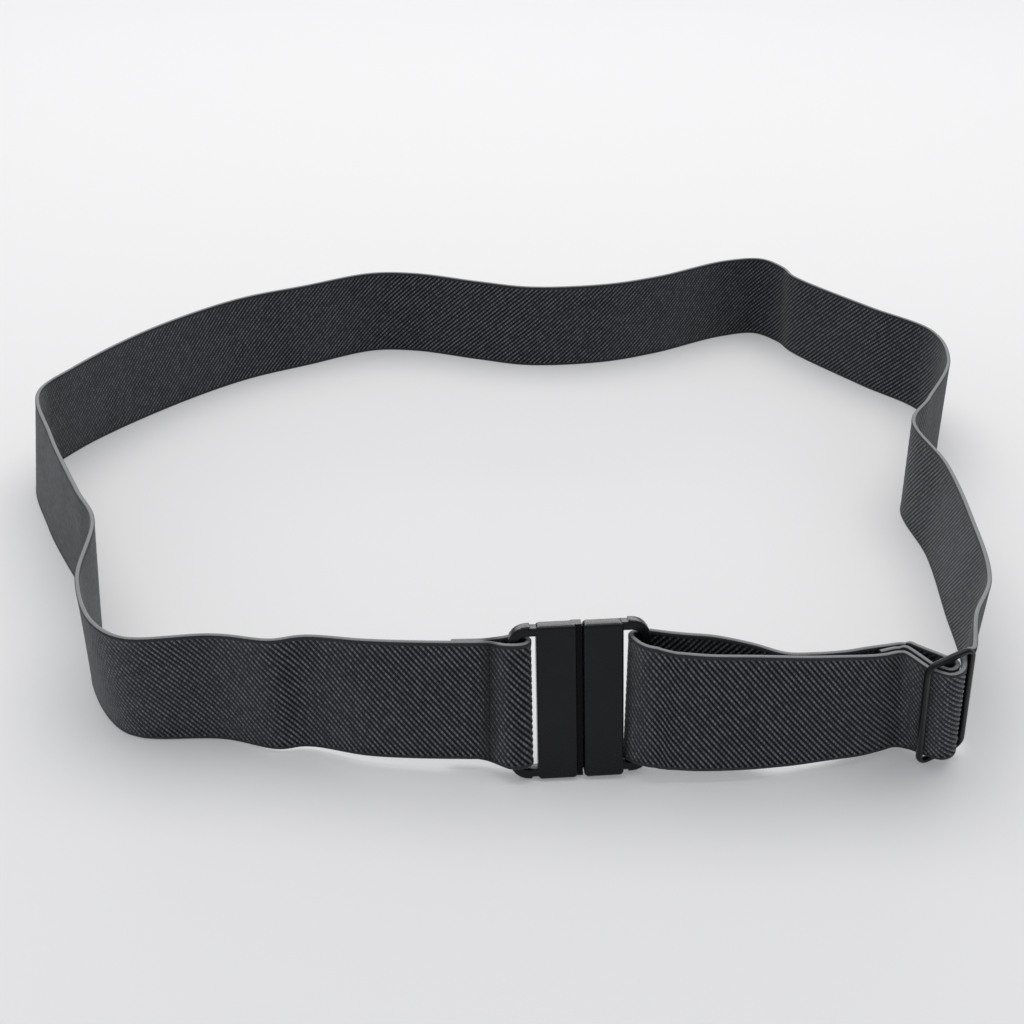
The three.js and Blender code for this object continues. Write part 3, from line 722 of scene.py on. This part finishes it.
def wrapTree():
    # Ribs raised on the flat strip, and the strip laid along the route
    tree = bpy.data.node_groups.new("wrapWebbing", "GeometryNodeTree")
    tree.is_modifier = True
    sockets = {}
    for label, kind in (
        ("Geometry", "Geometry"), ("Route", "Object"), ("Width", "Float"), ("Rib pitch", "Float"),
        ("Rib slope", "Float"), ("Rib depth", "Float"), ("Selvedge", "Float"), ("Stretch", "Float"),
        ("Stretch from", "Float"), ("Stretch to", "Float"), ("Stitches", "Int"), ("Stitch spacing", "Float"),
        ("Stitch size", "Vector"), ("Seam middle", "Vector"), ("Seams apart", "Float"),
        ("Finish", "Material"), ("Thread", "Material"),
    ):
        sockets[label] = tree.interface.new_socket(label, in_out="INPUT", socket_type="NodeSocket" + kind)
    tree.interface.new_socket("Geometry", in_out="OUTPUT", socket_type="NodeSocketGeometry")
    given = addNode(tree, "NodeGroupInput").outputs
    split = addNode(tree, "ShaderNodeSeparateXYZ")
    tree.links.new(addNode(tree, "GeometryNodeInputPosition").outputs[0], split.inputs[0])
    along, across, height = split.outputs

    shifted = calc(tree, "SUBTRACT", along, calc(tree, "MULTIPLY", across, given["Rib slope"]))
    phase = calc(tree, "DIVIDE", shifted, given["Rib pitch"])
    cord = calc(tree, "ABSOLUTE", calc(tree, "SINE", calc(tree, "MULTIPLY", phase, math.pi)))
    ribLimit = calc(tree, "SUBTRACT", calc(tree, "DIVIDE", given["Width"], 2.0), given["Selvedge"])
    ribbed = calc(tree, "LESS_THAN", calc(tree, "ABSOLUTE", across), calc(tree, "SUBTRACT", ribLimit, 0.05))
    sunk = calc(tree, "MULTIPLY", calc(tree, "SUBTRACT", 1.0, cord), given["Rib depth"])
    inner = calc(tree, "SUBTRACT", calc(tree, "ABSOLUTE", height), calc(tree, "MULTIPLY", sunk, ribbed))
    raised = calc(tree, "MULTIPLY", inner, calc(tree, "SIGN", height))

    info = addNode(tree, "GeometryNodeObjectInfo", transform_space="ORIGINAL")
    tree.links.new(given["Route"], info.inputs["Object"])
    path = addNode(tree, "GeometryNodeMeshToCurve")
    tree.links.new(info.outputs["Geometry"], path.inputs["Mesh"])
    stored = addNode(tree, "GeometryNodeInputNamedAttribute", data_type="FLOAT_VECTOR")
    stored.inputs["Name"].default_value = "rise"
    sample = addNode(tree, "GeometryNodeSampleCurve", data_type="FLOAT_VECTOR", mode="LENGTH")
    tree.links.new(path.outputs["Curve"], sample.inputs["Curves"])
    tree.links.new(socket(stored.outputs, "Attribute"), socket(sample.inputs, "Value"))
    stretched = ramp(tree, along, given["Stretch from"], given["Stretch to"])
    gained = calc(tree, "MULTIPLY", stretched, given["Stretch"])
    tree.links.new(calc(tree, "MULTIPLY", calc(tree, "ADD", along, gained), mm), sample.inputs["Length"])
    rise, tangent = socket(sample.outputs, "Value"), sample.outputs["Tangent"]

    face = vectorCalc(tree, "NORMALIZE", vectorCalc(tree, "CROSS_PRODUCT", rise, tangent))
    heights = [addNode(tree, "ShaderNodeSeparateXYZ") for _ in range(2)]
    tree.links.new(face, heights[0].inputs[0])
    tree.links.new(rise, heights[1].inputs[0])
    drop = calc(tree, "DIVIDE", heights[0].outputs["Z"], heights[1].outputs["Z"])
    level = vectorCalc(tree, "SUBTRACT", face, vectorCalc(tree, "SCALE", rise, scale=drop))
    up = vectorCalc(tree, "SCALE", rise, scale=calc(tree, "MULTIPLY", across, mm))
    out = vectorCalc(tree, "SCALE", level, scale=calc(tree, "MULTIPLY", raised, mm))
    place = vectorCalc(tree, "ADD", sample.outputs["Position"], vectorCalc(tree, "ADD", up, out))

    joined = addNode(tree, "GeometryNodeJoinGeometry")
    tree.links.new(given["Geometry"], joined.inputs[0])
    tree.links.new(stitchRows(tree, given), joined.inputs[0])
    move = addNode(tree, "GeometryNodeSetPosition")
    tree.links.new(joined.outputs[0], move.inputs["Geometry"])
    tree.links.new(place, move.inputs["Position"])
    realized = addNode(tree, "GeometryNodeRealizeInstances")
    tree.links.new(move.outputs["Geometry"], realized.inputs["Geometry"])
    whole = realized.outputs["Geometry"]
    isStitch = addNode(tree, "GeometryNodeInputNamedAttribute", data_type="BOOLEAN")
    isStitch.inputs["Name"].default_value = "stitch"
    for label, selection in (("Finish", True), ("Thread", socket(isStitch.outputs, "Attribute"))):
        finish = addNode(tree, "GeometryNodeSetMaterial")
        tree.links.new(whole, finish.inputs["Geometry"])
        feed(tree, finish.inputs["Selection"], selection)
        tree.links.new(given[label], finish.inputs["Material"])
        whole = finish.outputs["Geometry"]
    tree.links.new(whole, addNode(tree, "NodeGroupOutput").inputs[0])
    return tree, sockets


def settle(obj, tree, values):
    # Runs the tree once with its inputs set and keeps the result as a plain mesh
    modifier = obj.modifiers.new("shape", "NODES")
    modifier.node_group = tree[0]
    for label, value in values.items():
        modifier[tree[1][label].identifier] = value
    bpy.context.view_layer.update()
    whole = obj.evaluated_get(bpy.context.evaluated_depsgraph_get())
    mesh = bpy.data.meshes.new_from_object(whole)
    obj.modifiers.remove(modifier)
    old = obj.data
    obj.data = mesh
    bpy.data.meshes.remove(old)
    mesh.name = obj.name


def smoothFaces(mesh, angle):
    mesh.shade_smooth()
    mesh.set_sharp_from_angle(angle=math.radians(angle))


def makeStrap():
    mesh = makeFlatStrip()
    bm = bmesh.new()
    bm.from_mesh(mesh)
    squareOff(bm)
    refineFolds(bm)
    weaveUv(bm)
    bmesh.ops.recalc_face_normals(bm, faces=bm.faces[:])
    bmesh.ops.triangulate(bm, faces=bm.faces[:])
    bm.to_mesh(mesh)
    bm.free()
    strap = meshObject("webbing_strap", mesh)
    routeObject = makeRouteMesh()
    settle(strap, wrapTree(), {
        "Route": routeObject, "Width": float(webbing["width"]), "Rib pitch": weave["ribPitch"],
        "Rib slope": weave["slope"], "Rib depth": strip["ribDepth"], "Selvedge": weave["selvedge"],
        "Stretch": float(strip["extra"]),
        "Stretch from": float(strip["from"]), "Stretch to": float(strip["to"]),
        "Stitches": seam["count"], "Stitch spacing": seam["spacing"], "Stitch size": seam["size"],
        "Seam middle": ((flapSeam + frontSeam) / 2, 0.0, webbing["thickness"] / 2 + seam["raised"]),
        "Seams apart": frontSeam - flapSeam, "Finish": webbingMaterial, "Thread": threadMaterial,
    })
    bpy.data.objects.remove(routeObject)
    smoothFaces(strap.data, strip["smoothUnder"])
    return strap


strap = makeStrap()
print("strap made,", len(strap.data.polygons), "triangles")


# Buckle halves and slider: the CAD pieces with their facets smoothed into round edges

# Degrees: faces turned less than flatUnder are joined, less than smoothUnder are shaded round
hardwareLook = {"flatUnder": 0.5, "smoothUnder": 38}


def smoothCopy(node, name, material):
    bm = bmesh.new()
    bm.from_mesh(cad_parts[node].data)
    bmesh.ops.remove_doubles(bm, verts=bm.verts[:], dist=1e-6)
    flat = math.radians(hardwareLook["flatUnder"])
    bmesh.ops.dissolve_limit(bm, angle_limit=flat, verts=bm.verts[:], edges=bm.edges[:])
    mesh = bpy.data.meshes.new(name)
    bm.to_mesh(mesh)
    bm.free()
    mesh.materials.append(material)
    smoothFaces(mesh, hardwareLook["smoothUnder"])
    made = meshObject(name, mesh)
    weighted = made.modifiers.new("even shading", "WEIGHTED_NORMAL")
    weighted.keep_sharp = True
    return made


def paintGrooveShade(piece):
    # Painted shade: the web between the plates gets a darker paint, left matt, standing in for the shadow in
    # the groove
    piece.data.materials.append(grooveShadePaint)
    toBuckle = buckleAxes.inverted()
    for face in piece.data.polygons:
        place = toBuckle @ (face.center / mm)
        if abs(place.x) < buckleSize["groove"] / 2 + 0.05 and place.z < -buckleSize["groove"] / 2:
            face.material_index = 1


hardware = [
    ("buckle_hook_half", "hook_half", bucklePaint, "buckle"),
    ("buckle_catch_half", "catch_half", bucklePaint, "buckle"),
    ("slider", "wire_slider", sliderPaint, "slider"),
]
for node, name, material, slotName in hardware:
    piece = smoothCopy(node, name, material)
    if name == "hook_half":
        paintGrooveShade(piece)
    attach(piece, "root")
    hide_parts(node)
print("hardware made")

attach(strap, "root")
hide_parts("strap")


# Floor and light

floorLook = {
    "reach": 4.0, "colour": (0.64, 0.635, 0.63, 1), "roughness": 0.5, "specular": 0.05,
    "glow": (0.18, 0.183, 0.188, 1),
}
lights = {
    # place in metres, size, power, colour
    "overhead": ((0.0, 0.4, 1.6), (2.2, 1.8), 21, (1.0, 0.985, 0.97)),
    "back": ((0.1, 5.0, 1.15), (6.0, 1.1), 80, (1.0, 0.985, 0.975)),
    "left": ((-1.9, -1.2, 0.8), (1.2, 1.0), 2.5, (1.0, 0.99, 0.98)),
}
skyLook = {"colour": (0.91, 0.94, 1.0, 1), "strength": 0.46}


def makeFloor():
    reach = floorLook["reach"]
    corners = [(-reach, -reach, 0), (reach, -reach, 0), (reach, reach, 0), (-reach, reach, 0)]
    mesh = bpy.data.meshes.new("floor")
    mesh.from_pydata(corners, [], [(0, 1, 2, 3)])
    floor = meshObject("floor", mesh)
    material, _, surface = newMaterial("pale_floor")
    surface.inputs["Base Color"].default_value = floorLook["colour"]
    surface.inputs["Roughness"].default_value = floorLook["roughness"]
    surface.inputs["Specular IOR Level"].default_value = floorLook["specular"]
    surface.inputs["Emission Color"].default_value = floorLook["glow"]
    surface.inputs["Emission Strength"].default_value = 1.0
    mesh.materials.append(material)


def makeLights():
    for name, (place, size, power, colour) in lights.items():
        lamp = bpy.data.lights.new(name, "AREA")
        lamp.shape = "RECTANGLE"
        lamp.size, lamp.size_y = size
        lamp.energy = power
        lamp.color = colour
        made = bpy.data.objects.new(name, lamp)
        bpy.context.scene.collection.objects.link(made)
        made.location = place
        made.rotation_euler = (Vector((0, 0, 0)) - Vector(place)).to_track_quat("-Z", "Y").to_euler()
    world = bpy.data.worlds.new("studio")
    bpy.context.scene.world = world
    world.use_nodes = True
    sky = world.node_tree.nodes["Background"].inputs
    sky["Color"].default_value = skyLook["colour"]
    sky["Strength"].default_value = skyLook["strength"]


makeFloor()
makeLights()
bpy.context.scene.view_settings.view_transform = "Standard"
print("floor and lights made")
